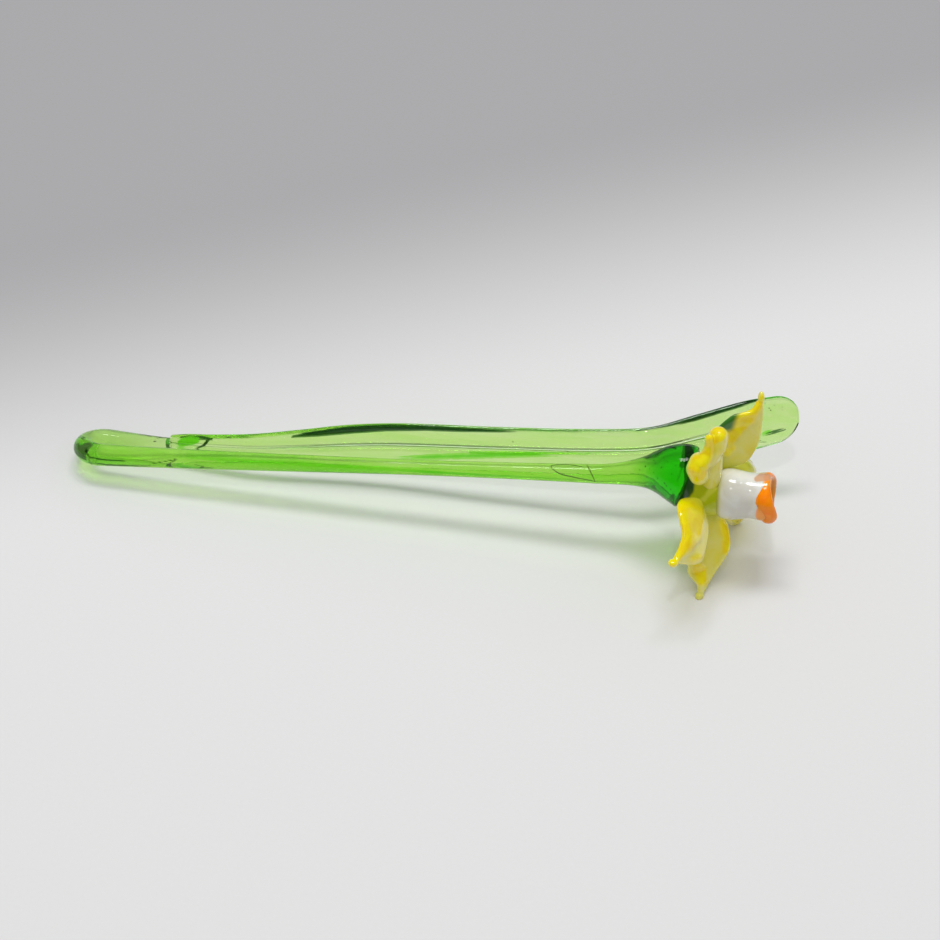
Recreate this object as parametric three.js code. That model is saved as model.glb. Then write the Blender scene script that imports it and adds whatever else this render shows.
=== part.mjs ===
// A daffodil made of flame-worked glass, lying down: a green rod bent back on itself at its foot,
// one pressed green leaf fused to the short leg, a flared green neck, six thick yellow petals round a
// yellow-green boss, and a white cup with a rolled orange lip.
// Millimetres, +Z up. The origin is the flat spot under the foot. +X runs along the stem to the flower.
import * as THREE from "three";
import { mergeVertices } from "three/addons/utils/BufferGeometryUtils.js";

// Driving dimensions
const gap = 0.3; // clearance between two pieces that meet
const tableHeight = 0;

// Stem: one rod, from the end of the short leg, round the bend and along to the neck
const rod = {
  sides: 14,
  legLength: 18.5, // the short leg, drawn out thin towards the leaf
  legEndRadius: 1.6,
  bendRadius: 5.3, // axis radius of the hairpin bend
  bendStart: [1.0, 1.4], // X where the bend begins, on the short leg and on the long leg
  bendTubeRadius: 3.05,
  bendSteps: 8,
  flatDepth: 0.36, // how far its underside is worn flat
  thinRadius: 2.08, // the slimmest stretch, past the middle
  jointRadius: 2.55, // where the neck is fused on
  jointX: 135.5,
  axisY: -11.1,
  axisRise: [7.5, 20.6], // axis height beside the bend and at the neck
  steps: 18,
};

// Leaf: a pressed blade standing on its edge behind the rod, its end turned away from the rod
const leaf = {
  thickness: 2.6,
  edgeThickness: 1.7,
  creaseDepth: 0.7,
  leanBack: [14, 22], // degrees off upright, along the blade and at its end
  // middle of the blade's width, then its full width
  stations: [
    [19.3, -2.0, 6.6, 4.4],
    [24.0, -2.5, 7.1, 6.0],
    [31.0, -3.0, 7.8, 7.0],
    [43.0, -3.3, 9.1, 8.6],
    [56.0, -2.4, 10.4, 10.8],
    [69.0, -1.2, 11.8, 12.7],
    [83.0, -0.6, 13.3, 13.4],
    [109.0, -0.8, 16.1, 13.0],
    [136.0, -0.6, 19.0, 13.2],
    [150.0, 0.6, 20.4, 12.8],
    [162.5, 5.9, 21.2, 13.8],
    [175.0, 12.1, 21.8, 14.6],
    [182.0, 15.4, 22.1, 12.4],
    [186.6, 17.4, 22.3, 7.6],
  ],
  tip: [187.6, 17.9, 22.3],
  steps: 34,
};

// Flower: everything past the neck shares one axis, a little down and towards the front
const flower = {
  neckEnd: [161.2, -12.0, 23.9], // middle of the neck's end face
  yaw: 13, // degrees towards the front
  droop: 8.8, // degrees below level
};
const neck = {
  sides: 24,
  // distance before the end face, then radius
  profile: [
    [26.0, 2.55],
    [22.0, 2.75],
    [18.0, 3.2],
    [13.5, 4.2],
    [10.5, 5.5],
    [7.5, 6.9],
    [4.5, 7.9],
    [2.0, 8.4],
    [0.6, 8.2],
    [0.0, 7.6],
  ],
};
const boss = {
  sides: 24,
  // share of the way from the neck to the cup, then radius
  profile: [
    [0.0, 5.9],
    [0.06, 6.3],
    [0.2, 6.0],
    [0.45, 5.3],
    [0.75, 4.9],
    [0.93, 4.8],
    [1.0, 4.3],
  ],
};
const cup = {
  start: 8.1, // middle of its base, from the neck's end face
  length: 11.4,
  baseRadius: 4.4,
  bellyRadius: 6.7,
  bellyAt: 3.6,
  throatRadius: 6.1,
  throatAt: 8.4,
  mouthRadius: 6.4,
  wall: 1.7,
  hollowDepth: 8.2,
  offset: [-0.8, 0.8], // of its base, up and towards the front
  turnUp: 11, // degrees that the cup is tipped back up from the flower's axis
  turnBack: 13, // degrees that it is turned back from the front
};
const lip = { width: 2.7, length: 3.8, radius: 5.55, waves: 5, waveDepth: 0.45, steps: 40, sides: 10 };

// Petals: thick blades with a lengthwise fold, each drawn out to a bead
const petal = {
  root: [6.4, 0, 4.6], // out from the flower's axis, sideways, and along it from the neck's end face
  neckRadius: 0.95,
  neckAt: 0.9,
  thickness: 2.7,
  steps: 15,
  beadSteps: 5,
  across: 6, // points from edge to edge on each face
};
// around: degrees from the top towards the front; lift: degrees forward at the root; curl: degrees that
// it bends forward by its tip, late for a high power; twist: degrees about its own length at root and tip;
// sway and bow: sideways shift of the tip and of the two halves; peak: moves the widest place outwards;
// root: half the width where it leaves the boss; shift: of its root from the place above
const petals = [
  { around: -26.9, length: 22.5, half: 6.2, lift: 16.3, curl: -6.1, power: 2, twist: [-52, -57] },
  { around: 20.1, length: 19.8, half: 7.5, lift: 1.3, curl: -25.2, power: 2.3, twist: [28, -78] },
  { around: 95.7, length: 23.2, half: 6.9, lift: 12.7, curl: -34, power: 1.9, twist: [52, 25] },
  { around: 145.8, length: 23.8, half: 7, lift: 30.8, curl: -27.3, power: 2.1, twist: [51, 47] },
  { around: -153.5, length: 21.1, half: 4.9, lift: 23.9, curl: 16.4, power: 1.8, twist: [-6, -77] },
  { around: -99.8, length: 16.8, half: 6.6, lift: 37.9, curl: -29.7, power: 2.1, twist: [24, 87] },
];
const petalForms = [
  { sway: 1.4, bow: 0, fold: 20.7, peak: 0.82, root: 2.1, bead: 1.05, shift: [-0.7, -1.9, -0.4] },
  { sway: -0.7, bow: -2, fold: -31.8, peak: 0.84, root: 3, bead: 1.2, shift: [1.3, 1.1, 0.3] },
  { sway: -2.3, bow: -0.9, fold: 18.4, peak: 1.05, root: 2.3, bead: 1.3, shift: [0.25, 0, 0] },
  { sway: -2.6, bow: 0, fold: 20.4, peak: 0.86, root: 2.5, bead: 1.4, shift: [1.05, 0, 0] },
  { sway: 0.6, bow: 0.2, fold: 25.8, peak: 0.97, root: 2.4, bead: 1.2, shift: [-0.2, 0, 0] },
  { sway: -3.8, bow: -0.6, fold: 24, peak: 1, root: 2.6, bead: 1.2, shift: [-0.5, 0, -0.4] },
];

const colours = {
  stem: 0x8cc84a,
  leaf: 0xb4dc78,
  neck: 0x2f9a10,
  boss: 0xc6c43c,
  petal: 0xe2cc10,
  cup: 0xf0eee6,
  lip: 0xf57a10,
};

const radians = THREE.MathUtils.degToRad;
const lerp = THREE.MathUtils.lerp;
const cupTurn = new THREE.Euler(radians(cup.turnBack), radians(cup.turnUp), 0);

// A closed body through rings of points, with its two ends closed by fans
function loft(rings) {
  const count = rings[0].length;
  const positions = [];
  for (const ring of rings) {
    for (const point of ring) positions.push(point.x, point.y, point.z);
  }
  const first = middle(rings[0]);
  const last = middle(rings[rings.length - 1]);
  positions.push(first.x, first.y, first.z, last.x, last.y, last.z);
  const startPole = rings.length * count;
  const endPole = startPole + 1;
  const index = [];
  for (let r = 0; r < rings.length - 1; r++) {
    for (let i = 0; i < count; i++) {
      const j = (i + 1) % count;
      const a = r * count + i;
      const b = r * count + j;
      const c = a + count;
      const d = b + count;
      index.push(a, b, d, a, d, c);
    }
  }
  const lastRing = (rings.length - 1) * count;
  for (let i = 0; i < count; i++) {
    const j = (i + 1) % count;
    index.push(startPole, j, i);
    index.push(endPole, lastRing + i, lastRing + j);
  }
  const geometry = new THREE.BufferGeometry();
  geometry.setAttribute("position", new THREE.Float32BufferAttribute(positions, 3));
  geometry.setIndex(index);
  return facingOut(geometry);
}

function middle(points) {
  const sum = new THREE.Vector3();
  for (const point of points) sum.add(point);
  return sum.divideScalar(points.length);
}

// Turns every triangle round where the closed body is inside out
function facingOut(geometry) {
  const position = geometry.getAttribute("position");
  const index = geometry.getIndex().array;
  const a = new THREE.Vector3();
  const b = new THREE.Vector3();
  const c = new THREE.Vector3();
  let volume = 0;
  for (let i = 0; i < index.length; i += 3) {
    a.fromBufferAttribute(position, index[i]);
    b.fromBufferAttribute(position, index[i + 1]);
    c.fromBufferAttribute(position, index[i + 2]);
    volume += a.dot(b.cross(c));
  }
  if (volume < 0) {
    for (let i = 0; i < index.length; i += 3) {
      const swap = index[i + 1];
      index[i + 1] = index[i + 2];
      index[i + 2] = swap;
    }
  }
  return geometry;
}

// Round rings along a path of {point, radius}, carried along without twisting; a point may state the
// direction that its ring faces
function roundRings(path, sides) {
  const side = new THREE.Vector3(0, 0, 1);
  return path.map(({ point, radius, faces }, i) => {
    const before = path[Math.max(i - 1, 0)].point;
    const after = path[Math.min(i + 1, path.length - 1)].point;
    const along = faces ?? after.clone().sub(before).normalize();
    side.addScaledVector(along, -side.dot(along)).normalize();
    const across = along.clone().cross(side);
    const ring = [];
    for (let k = 0; k < sides; k++) {
      const turn = (2 * Math.PI * (k + 0.5)) / sides;
      ring.push(
        point
          .clone()
          .addScaledVector(side, radius * Math.cos(turn))
          .addScaledVector(across, radius * Math.sin(turn)),
      );
    }
    return ring;
  });
}

// Presses flat whatever would reach below the table
function restOnTable(mesh) {
  mesh.updateWorldMatrix(true, false);
  const toWorld = mesh.matrixWorld;
  const toLocal = toWorld.clone().invert();
  const position = mesh.geometry.getAttribute("position");
  const point = new THREE.Vector3();
  for (let i = 0; i < position.count; i++) {
    point.fromBufferAttribute(position, i).applyMatrix4(toWorld);
    point.z = Math.max(point.z, tableHeight);
    point.applyMatrix4(toLocal);
    position.setXYZ(i, point.x, point.y, point.z);
  }
}

function piece(name, geometry, colour, roughness) {
  geometry.computeVertexNormals();
  const material = new THREE.MeshStandardMaterial({ color: colour, roughness, metalness: 0 });
  const mesh = new THREE.Mesh(geometry, material);
  mesh.name = name;
  return mesh;
}

// The hairpin lies on its short leg; the long leg stands in front of it and higher
function makeStem() {
  const path = [];
  const low = new THREE.Vector3(rod.bendStart[0], 0, rod.bendTubeRadius - rod.flatDepth);
  const high = new THREE.Vector3(rod.bendStart[1], rod.axisY + 0.6, rod.axisRise[0]);
  const legSteps = 6;
  for (let i = 0; i < legSteps; i++) {
    const t = 1 - i / legSteps;
    const drop = t * t;
    path.push({
      point: new THREE.Vector3(low.x + (rod.legLength - low.x) * t, -1.8 * drop, low.z + 3.1 * drop),
      radius: lerp(rod.bendTubeRadius, rod.legEndRadius, t ** 1.3),
    });
  }
  const middleOfBend = low.clone().add(high).multiplyScalar(0.5);
  const spread = low.clone().sub(high).multiplyScalar(0.5);
  for (let i = 0; i <= rod.bendSteps; i++) {
    const turn = (Math.PI * i) / rod.bendSteps;
    const point = middleOfBend.clone().addScaledVector(spread, Math.cos(turn));
    point.x -= rod.bendRadius * Math.sin(turn);
    path.push({ point, radius: rod.bendTubeRadius });
  }
  for (let i = 1; i <= rod.steps; i++) {
    const t = i / rod.steps;
    const x = lerp(high.x, rod.jointX - gap, t);
    const y = rod.axisY + 0.6 * (1 - t) ** 8;
    const thinning = lerp(rod.bendTubeRadius, rod.thinRadius, Math.min(1, t / 0.62) ** 0.75);
    const radius = thinning + (rod.jointRadius - rod.thinRadius) * Math.max(0, (t - 0.7) / 0.3) ** 1.6;
    path.push({ point: new THREE.Vector3(x, y, lerp(high.z, rod.axisRise[1], t)), radius });
  }
  const mesh = piece("stem", loft(roundRings(path, rod.sides)), colours.stem, 0.05);
  restOnTable(mesh);
  return mesh;
}

// One section of the blade: an upright lens with a crease pressed along the middle of each face
function leafSection(middlePoint, along, width, lean) {
  const back = new THREE.Vector3(-along.y, along.x, 0).normalize();
  const up = new THREE.Vector3(0, 0, Math.cos(lean)).addScaledVector(back, Math.sin(lean));
  const through = up.clone().cross(along).normalize();
  const half = width / 2;
  const edge = Math.min(leaf.edgeThickness, width * 0.5) / 2;
  const face = Math.min(leaf.thickness, width * 0.6) / 2;
  const crease = face - leaf.creaseDepth * Math.min(1, width / 12);
  const outline = [
    [1, 0],
    [0.93, edge],
    [0.45, face],
    [0.0, crease],
    [-0.45, face],
    [-0.93, edge],
    [-1, 0],
    [-0.93, -edge],
    [-0.45, -face],
    [0.0, -crease],
    [0.45, -face],
    [0.93, -edge],
  ];
  return outline.map(([u, v]) => middlePoint.clone().addScaledVector(up, u * half).addScaledVector(through, v));
}

function makeLeaf() {
  const points = leaf.stations.map(([x, y, z]) => new THREE.Vector3(x, y, z));
  points.push(new THREE.Vector3(...leaf.tip));
  const spine = new THREE.CatmullRomCurve3(points, false, "centripetal");
  const widths = [...leaf.stations.map((station) => station[3]), 2.4];
  const rings = [];
  for (let i = 0; i <= leaf.steps; i++) {
    const t = i / leaf.steps;
    const at = t * (widths.length - 1);
    const before = Math.min(Math.floor(at), widths.length - 2);
    const width = lerp(widths[before], widths[before + 1], at - before);
    const lean = radians(lerp(leaf.leanBack[0], leaf.leanBack[1], THREE.MathUtils.smoothstep(t, 0.6, 0.9)));
    rings.push(leafSection(spine.getPoint(t), spine.getTangent(t), width, lean));
  }
  return piece("leaf", loft(rings), colours.leaf, 0.05);
}

// A body turned about the flower's axis, from a profile of [along, radius] that starts and ends on it
function turned(profile, sides) {
  const points = profile.map(([along, radius]) => new THREE.Vector2(radius, along));
  const geometry = new THREE.LatheGeometry(points, sides);
  geometry.deleteAttribute("normal");
  geometry.deleteAttribute("uv");
  geometry.rotateX(Math.PI / 2);
  return facingOut(mergeVertices(geometry, 1e-4));
}

// The neck runs from the rod's end to the flower's axis, so its middle line bends a little
function makeNeck(axis) {
  const end = new THREE.Vector3(...flower.neckEnd);
  const start = new THREE.Vector3(rod.jointX, rod.axisY, rod.axisRise[1]);
  const reach = end.distanceTo(start);
  const handles = [start.clone().add(new THREE.Vector3(reach * 0.45, 0, reach * 0.045)), end.clone()];
  handles[1].addScaledVector(axis, -reach * 0.3);
  const curve = new THREE.CubicBezierCurve3(start, handles[0], handles[1], end);
  const path = neck.profile.map(([before, radius]) => {
    const t = 1 - before / neck.profile[0][0];
    return { point: curve.getPoint(t), radius, faces: curve.getTangent(t) };
  });
  return piece("neck", loft(roundRings(path, neck.sides)), colours.neck, 0.05);
}

// The boss bends from the neck's end face to the base of the cup
function makeBoss() {
  const cupAxis = new THREE.Vector3(0, 0, 1).applyEuler(cupTurn);
  const start = new THREE.Vector3(0, 0, gap);
  const end = new THREE.Vector3(cup.offset[0], cup.offset[1], cup.start).addScaledVector(cupAxis, -gap);
  const reach = start.distanceTo(end) / 3;
  const curve = new THREE.CubicBezierCurve3(
    start,
    new THREE.Vector3(0, 0, gap + reach),
    end.clone().addScaledVector(cupAxis, -reach),
    end,
  );
  const path = boss.profile.map(([t, radius]) => {
    return { point: curve.getPoint(t), radius, faces: curve.getTangent(t) };
  });
  return piece("flower_boss", loft(roundRings(path, boss.sides)), colours.boss, 0.08);
}

function makeCup() {
  const { length, wall, hollowDepth, throatRadius, bellyRadius, mouthRadius } = cup;
  const profile = [
    [0, 0],
    [0, cup.baseRadius],
    [cup.bellyAt * 0.4, bellyRadius - 0.7],
    [cup.bellyAt, bellyRadius],
    [cup.throatAt, throatRadius],
    [length, mouthRadius],
    [length, mouthRadius - wall],
    [cup.throatAt, throatRadius - wall],
    [length - hollowDepth * 0.8, 3.2],
    [length - hollowDepth, 0],
  ];
  return piece("cup", turned(profile, 28), colours.cup, 0.1);
}

// The lip is a ring whose rounded section swells and shifts in waves
function makeLip() {
  const rings = [];
  for (let i = 0; i < lip.steps; i++) {
    const turn = (2 * Math.PI * i) / lip.steps;
    const wave = Math.sin(lip.waves * turn) + 0.5 * Math.sin((lip.waves - 2) * turn + 1);
    const ringRadius = lip.radius + 0.25 * wave;
    const ring = [];
    for (let k = 0; k < lip.sides; k++) {
      const around = (2 * Math.PI * k) / lip.sides;
      const reach = ringRadius + (lip.width / 2) * Math.cos(around);
      const along = lip.length / 2 + (lip.length / 2) * Math.sin(around);
      const lift = along > lip.length / 2 ? lip.waveDepth * (wave - 1) * 0.5 : 0;
      ring.push(new THREE.Vector3(reach * Math.cos(turn), reach * Math.sin(turn), along + lift));
    }
    rings.push(ring);
  }
  const positions = rings.flat().flatMap((point) => [point.x, point.y, point.z]);
  const index = [];
  for (let i = 0; i < lip.steps; i++) {
    const next = (i + 1) % lip.steps;
    for (let k = 0; k < lip.sides; k++) {
      const after = (k + 1) % lip.sides;
      const a = i * lip.sides + k;
      const b = next * lip.sides + k;
      const c = next * lip.sides + after;
      const d = i * lip.sides + after;
      index.push(a, b, c, a, c, d);
    }
  }
  const geometry = new THREE.BufferGeometry();
  geometry.setAttribute("position", new THREE.Float32BufferAttribute(positions, 3));
  geometry.setIndex(index);
  return piece("cup_lip", facingOut(geometry), colours.lip, 0.08);
}

// One petal along +X, its width along Y and its front face towards +Z
function makePetal(name, shape) {
  const stations = [];
  for (let i = 0; i <= petal.steps; i++) {
    const q = i / petal.steps;
    const swell = Math.sin(Math.PI * Math.min(1, q ** shape.peak)) ** 0.9;
    stations.push({
      s: q * petal.neckAt,
      half: lerp(shape.root, petal.neckRadius, q) + (shape.half - 1.6) * swell,
      thick: lerp(petal.thickness, petal.neckRadius * 2, Math.max(0, (q - 0.4) / 0.6) ** 1.2),
      fold: Math.tan(radians(shape.fold)) * swell,
    });
  }
  for (let i = 1; i <= petal.beadSteps; i++) {
    const turn = lerp(-0.25, 0.5, i / (petal.beadSteps + 0.4)) * Math.PI;
    const radius = shape.bead * Math.cos(turn);
    const s = petal.neckAt + ((1 - petal.neckAt) * (Math.sin(turn) + 0.75)) / 1.75;
    stations.push({ s, half: radius, thick: radius * 2, fold: 0 });
  }
  const middleLine = new THREE.Vector3(0, 0, 0);
  let lastS = 0;
  const rings = stations.map(({ s, half, thick, fold }) => {
    const pitch = radians(shape.lift + shape.curl * s ** shape.power);
    const step = (s - lastS) * shape.length;
    lastS = s;
    middleLine.x += step * Math.cos(pitch);
    middleLine.z += step * Math.sin(pitch);
    const along = new THREE.Vector3(Math.cos(pitch), 0, Math.sin(pitch));
    const twist = radians(lerp(shape.twist[0], shape.twist[1], s));
    const across = new THREE.Vector3(0, 1, 0).applyAxisAngle(along, twist);
    const out = along.clone().cross(across);
    const centre = middleLine.clone();
    centre.y += shape.sway * s * s + shape.bow * Math.sin(2 * Math.PI * s);
    const ring = [];
    for (let k = 0; k < 2 * petal.across; k++) {
      const turn = (Math.PI * (k + 0.5)) / petal.across;
      const u = Math.cos(turn);
      const v = Math.sin(turn);
      const bent = fold * half * (Math.sqrt(u * u + 0.02) - 0.45);
      ring.push(
        centre
          .clone()
          .addScaledVector(across, half * u)
          .addScaledVector(out, bent + (thick / 2) * Math.sign(v) * Math.abs(v) ** 0.8),
      );
    }
    return ring;
  });
  return piece(name, loft(rings), colours.petal, 0.08);
}

const daffodil = new THREE.Group();
daffodil.add(makeStem(), makeLeaf());

// The flower's own frame has +Z along its axis, +X up and +Y to the front
const yaw = radians(flower.yaw);
const droop = radians(flower.droop);
const axis = new THREE.Vector3(
  Math.cos(yaw) * Math.cos(droop),
  -Math.sin(yaw) * Math.cos(droop),
  -Math.sin(droop),
);
const front = new THREE.Vector3(-Math.sin(yaw), -Math.cos(yaw), 0);
const upward = front.clone().cross(axis);
const head = new THREE.Group();
head.position.set(...flower.neckEnd);
head.quaternion.setFromRotationMatrix(new THREE.Matrix4().makeBasis(upward, front, axis));
daffodil.add(makeNeck(axis), head);
head.add(makeBoss());

petals.forEach((place, i) => {
  const shape = { ...place, ...petalForms[i] };
  const arm = new THREE.Group();
  arm.rotation.z = radians(shape.around);
  const mesh = makePetal(`petal_${i + 1}`, shape);
  mesh.position.set(...petal.root).add(new THREE.Vector3(...shape.shift));
  arm.add(mesh);
  head.add(arm);
  restOnTable(mesh);
});

const trumpet = new THREE.Group();
trumpet.position.set(cup.offset[0], cup.offset[1], cup.start);
trumpet.rotation.copy(cupTurn);
const lipMesh = makeLip();
lipMesh.position.z = cup.length + gap;
trumpet.add(makeCup(), lipMesh);
head.add(trumpet);

export default daffodil;
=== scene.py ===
import math

import bmesh
import bpy
from mathutils import Matrix, Vector
from mathutils.bvhtree import BVHTree


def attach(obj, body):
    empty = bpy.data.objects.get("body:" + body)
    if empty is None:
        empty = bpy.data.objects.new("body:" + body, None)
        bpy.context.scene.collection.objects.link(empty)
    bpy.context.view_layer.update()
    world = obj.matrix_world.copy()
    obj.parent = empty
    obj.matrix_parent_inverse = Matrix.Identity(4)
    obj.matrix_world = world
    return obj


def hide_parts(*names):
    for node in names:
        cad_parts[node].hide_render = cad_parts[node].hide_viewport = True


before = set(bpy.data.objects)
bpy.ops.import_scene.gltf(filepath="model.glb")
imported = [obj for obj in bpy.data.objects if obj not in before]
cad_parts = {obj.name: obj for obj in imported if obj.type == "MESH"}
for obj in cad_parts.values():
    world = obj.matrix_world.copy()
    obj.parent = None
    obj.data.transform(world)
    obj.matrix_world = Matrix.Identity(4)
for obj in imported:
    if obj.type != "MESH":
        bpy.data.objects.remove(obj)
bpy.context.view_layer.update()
scene = bpy.context.scene
mm = 0.001  # the shapes below are in millimetres, as in the part


# Helpers for shapes

def mix(a, b, t):
    return a + (b - a) * t


def smooth(t, low, high):  # 0 at low, 1 at high
    t = min(1.0, max(0.0, (t - low) / (high - low)))
    return t * t * (3 - 2 * t)


def between(rows, t, column=1):  # a column of the rows at t, on a smooth curve; t runs in their first column
    keys, values = [row[0] for row in rows], [row[column] for row in rows]
    last = len(keys) - 1
    if t <= keys[0]:
        return values[0]
    if t >= keys[last]:
        return values[last]
    i = min(max(k for k in range(last + 1) if keys[k] <= t), last - 1)
    span = keys[i + 1] - keys[i]
    u = (t - keys[i]) / span
    slopes = []
    for k in (i, i + 1):
        low, high = max(k - 1, 0), min(k + 1, last)
        slopes.append((values[high] - values[low]) / (keys[high] - keys[low]))
    return ((2 * u ** 3 - 3 * u ** 2 + 1) * values[i] + (u ** 3 - 2 * u ** 2 + u) * span * slopes[0]
            + (-2 * u ** 3 + 3 * u ** 2) * values[i + 1] + (u ** 3 - u ** 2) * span * slopes[1])


def splinePoint(points, t):  # Catmull-Rom through the points, t from 0 to 1
    at = t * (len(points) - 1)
    i = min(int(at), len(points) - 2)
    u = at - i
    p1, p2 = points[i], points[i + 1]
    p0 = points[i - 1] if i > 0 else p1 * 2 - p2
    p3 = points[i + 2] if i + 2 < len(points) else p2 * 2 - p1
    return 0.5 * (2 * p1 + (p2 - p0) * u + (2 * p0 - 5 * p1 + 4 * p2 - p3) * u ** 2
                  + (3 * p1 - p0 - 3 * p2 + p3) * u ** 3)


def bezierPoint(p0, p1, p2, p3, t):
    return (1 - t) ** 3 * p0 + 3 * (1 - t) ** 2 * t * p1 + 3 * (1 - t) * t * t * p2 + t ** 3 * p3


def faceOutwards(mesh):  # turns a closed skin right side out
    volume = 0.0
    for face in mesh.polygons:
        corners = [mesh.vertices[i].co for i in face.vertices]
        for k in range(1, len(corners) - 1):
            volume += corners[0].dot(corners[k].cross(corners[k + 1]))
    if volume < 0:
        mesh.flip_normals()


def paint(mesh, key, values):  # a number on every point, which the materials read
    mesh.attributes.new(key, "FLOAT", "POINT").data.foreach_set("value", values)


def loftMesh(name, rings, marks):  # a closed skin through rings of points, with a pole at each end
    count = len(rings[0])
    points = [p for ring in rings for p in ring]
    points += [sum(rings[0], Vector()) / count, sum(rings[-1], Vector()) / count]
    faces = []
    for r in range(len(rings) - 1):
        for i in range(count):
            j = (i + 1) % count
            a, b = r * count + i, r * count + j
            faces.append((a, b, b + count, a + count))
    last = (len(rings) - 1) * count
    for i in range(count):
        j = (i + 1) % count
        faces += [(len(points) - 2, j, i), (len(points) - 1, last + i, last + j)]
    mesh = bpy.data.meshes.new(name)
    mesh.from_pydata([p * mm for p in points], [], faces)
    faceOutwards(mesh)
    mesh.polygons.foreach_set("use_smooth", [True] * len(mesh.polygons))
    for key, rows in marks.items():
        flat = [v for row in rows for v in row]
        paint(mesh, key, flat + [sum(rows[0]) / count, sum(rows[-1]) / count])
    mesh.update()
    return mesh


def mendedMesh(mesh):  # doubles merged and faces turned outwards
    work = bmesh.new()
    work.from_mesh(mesh)
    bmesh.ops.remove_doubles(work, verts=work.verts, dist=0.0001 * mm)
    bmesh.ops.recalc_face_normals(work, faces=work.faces)
    work.to_mesh(mesh)
    work.free()
    faceOutwards(mesh)
    return mesh


def addObject(name, data):
    obj = bpy.data.objects.new(name, data)
    scene.collection.objects.link(obj)
    return obj


def plainMesh(holder, name):  # the holder's shape with its modifiers, as a mesh of its own
    bpy.context.view_layer.update()
    mesh = bpy.data.meshes.new_from_object(holder.evaluated_get(bpy.context.evaluated_depsgraph_get()))
    mesh.name = name
    bpy.data.objects.remove(holder)
    return mesh


def addPiece(name, mesh, material, nodes):
    obj = addObject(name, mesh)
    if not mesh.materials:
        mesh.materials.append(material)
    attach(obj, "root")
    if nodes:
        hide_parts(*nodes)
    return obj


# Camera, at the photo's viewing angle

view = {"azimuth": 8.5, "elevation": 45.0, "distance": 700.0, "target": (100.68, 5.91, 0.0), "focal": 97.85,
        "sensor": 36, "pixels": 940, "pixelsPerMm": 3.83}
azimuth, elevation = math.radians(view["azimuth"]), math.radians(view["elevation"])
viewBack = Vector((math.sin(azimuth) * math.cos(elevation), -math.cos(azimuth) * math.cos(elevation),
                   math.sin(elevation)))
viewRight = Vector((math.cos(azimuth), math.sin(azimuth), 0))
viewUp = viewBack.cross(viewRight)
viewPoint = Vector(view["target"]) + viewBack * view["distance"]
middle = view["pixels"] / 2
zoom = view["pixels"] * view["focal"] / view["sensor"]
pixel = 1 / view["pixelsPerMm"]  # size in mm of one picture pixel at the flower


def makeCamera():
    data = bpy.data.cameras.new("viewCamera")
    data.sensor_width = view["sensor"]
    data.lens = view["focal"]
    data.clip_start = 0.01
    camera = addObject("viewCamera", data)
    camera.location = viewPoint * mm
    camera.rotation_mode = "QUATERNION"
    camera.rotation_quaternion = (-viewBack).to_track_quat("-Z", "Y")
    scene.camera = camera


def seenAt(point):  # where a point of the flower (mm) lies in the camera's picture
    ray = point - viewPoint
    reach = zoom / -ray.dot(viewBack)
    return middle + reach * ray.dot(viewRight), middle - reach * ray.dot(viewUp)


def placedAt(x, y, height):  # the point seen at a picture position, at a height over the plane of the picture
    ray = viewRight * ((x - middle) / zoom) - viewUp * ((y - middle) / zoom) - viewBack
    return viewPoint + ray * (view["distance"] + Vector(view["target"]).dot(viewBack) - height)


def marked(chains, spot, soft):  # 1 inside the chains of (x, y, radius) that the camera sees, 0 outside
    best = -99.0
    for chain in chains:
        for (x0, y0, r0), (x1, y1, r1) in zip(chain, chain[1:] or chain):
            dx, dy = x1 - x0, y1 - y0
            t = min(1.0, max(0.0, ((spot[0] - x0) * dx + (spot[1] - y0) * dy) / max(dx * dx + dy * dy, 1e-9)))
            away = math.hypot(spot[0] - x0 - dx * t, spot[1] - y0 - dy * t)
            best = max(best, mix(r0, r1, t) - away)
    return smooth(best, -soft, soft)


def markRows(rings, chains, soft):
    return [[marked(chains, seenAt(p), soft) for p in ring] for ring in rings]


makeCamera()
print("camera set")


# Helpers for nodes

def feed(tree, socket, value):  # links an output to a socket, or sets a plain value on it
    if isinstance(value, bpy.types.NodeSocket):
        tree.links.new(value, socket)
    else:
        socket.default_value = (*value, 1.0) if socket.type == "RGBA" else value


def addNode(tree, kind, inputs=None, **settings):
    node = tree.nodes.new(kind)
    for key, value in settings.items():
        setattr(node, key, value)
    for key, value in (inputs or {}).items():
        feed(tree, node.inputs[key], value)
    return node


def mathNode(tree, operation, a, b=0.0, c=0.0, clamp=False):
    return addNode(tree, "ShaderNodeMath", {0: a, 1: b, 2: c}, operation=operation, use_clamp=clamp).outputs[0]


def mapRange(tree, value, low, high, toLow=0.0, toHigh=1.0, kind="SMOOTHSTEP"):
    return addNode(tree, "ShaderNodeMapRange", {"Value": value, "From Min": low, "From Max": high, "To Min": toLow,
                   "To Max": toHigh}, interpolation_type=kind).outputs["Result"]


def mixColour(tree, factor, a, b):
    return addNode(tree, "ShaderNodeMix", {"Factor": factor, 6: a, 7: b}, data_type="RGBA").outputs[2]


def attribute(tree, name):
    return addNode(tree, "ShaderNodeAttribute", attribute_name=name).outputs["Fac"]


def markMask(tree, name, height, waver, edge):  # where a painted mark shows; its edge wavers with the clouds
    mask = attribute(tree, name)
    if waver:
        mask = mathNode(tree, "ADD", mask, mathNode(tree, "MULTIPLY_ADD", height, waver, -0.5 * waver))
    return mapRange(tree, mask, *edge) if edge else mask


def newMaterial(name):
    material = bpy.data.materials.new(name)
    material.use_nodes = True
    tree = material.node_tree
    tree.nodes.clear()
    return material, tree, addNode(tree, "ShaderNodeTexCoord").outputs["Object"]


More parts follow.
